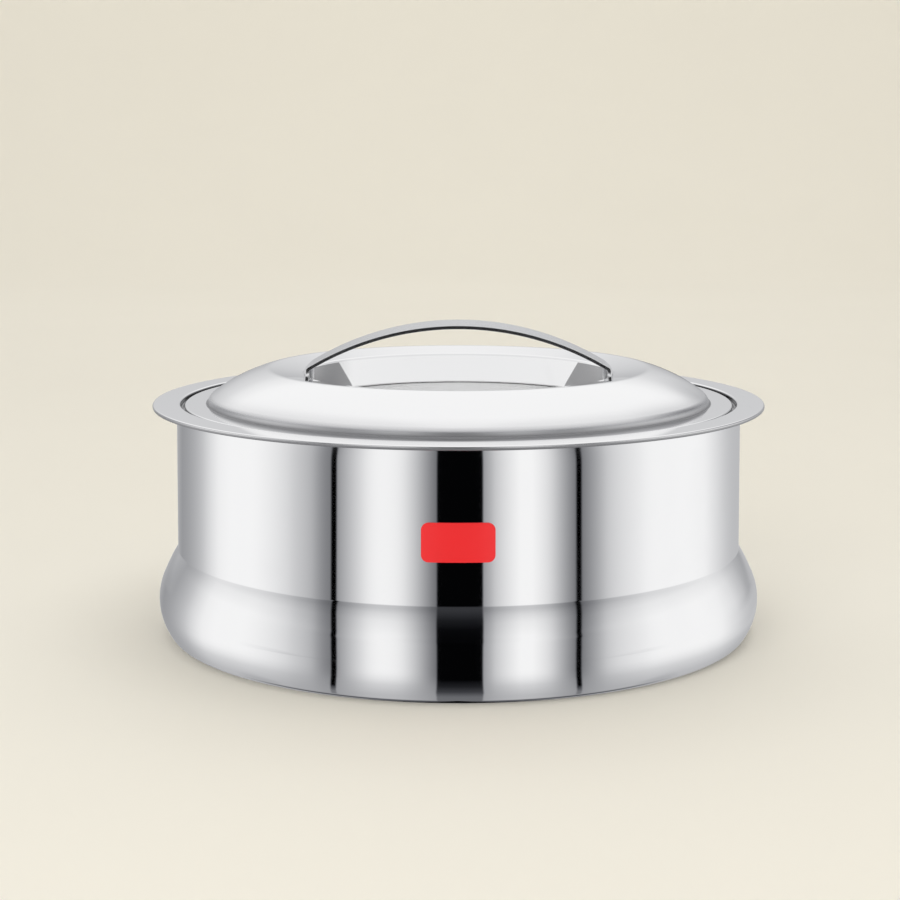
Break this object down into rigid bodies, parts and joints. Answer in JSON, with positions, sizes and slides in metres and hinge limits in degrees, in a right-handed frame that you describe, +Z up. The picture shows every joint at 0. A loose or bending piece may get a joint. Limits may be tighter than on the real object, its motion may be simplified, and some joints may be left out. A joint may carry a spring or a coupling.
{
  "type": "insulated casserole",
  "caption": "Round double-walled steel casserole with a bellied foot and rolled rim, and a domed insulated lid that lifts off by a strap handle bridging a round recess.",
  "frame": {"origin": "centre of the foot ring, on the table", "axes": "+Z up along the pot's axis, +X along the handle, -Y towards the front, where the badge is"},
  "size_m": [0.26, 0.26, 0.1314],
  "materials": {
    "mirror_steel": "mirror-polished stainless steel",
    "satin_steel": "satin stainless steel with fine turning lines",
    "foam": "rigid polyurethane foam",
    "plug_plastic": "moulded polyethylene",
    "badge_red": "glossy blank red plate"
  },
  "bodies": {
    "pot": {"outer_shell": "mirror_steel", "inner_bowl": "satin_steel", "body_insulation": "foam", "body_fill_plug": "plug_plastic", "badge": "badge_red"},
    "lid": {"lid_dome": "mirror_steel", "lid_liner": "satin_steel", "lid_insulation": "foam", "lid_fill_plug": "plug_plastic", "lid_handle": "mirror_steel"}
  },
  "joints": [
    {"name": "lid_lift", "type": "slide", "parent": "pot", "child": "lid", "axis": [0, 0, 1], "range_m": [0, 0.15]}
  ]
}
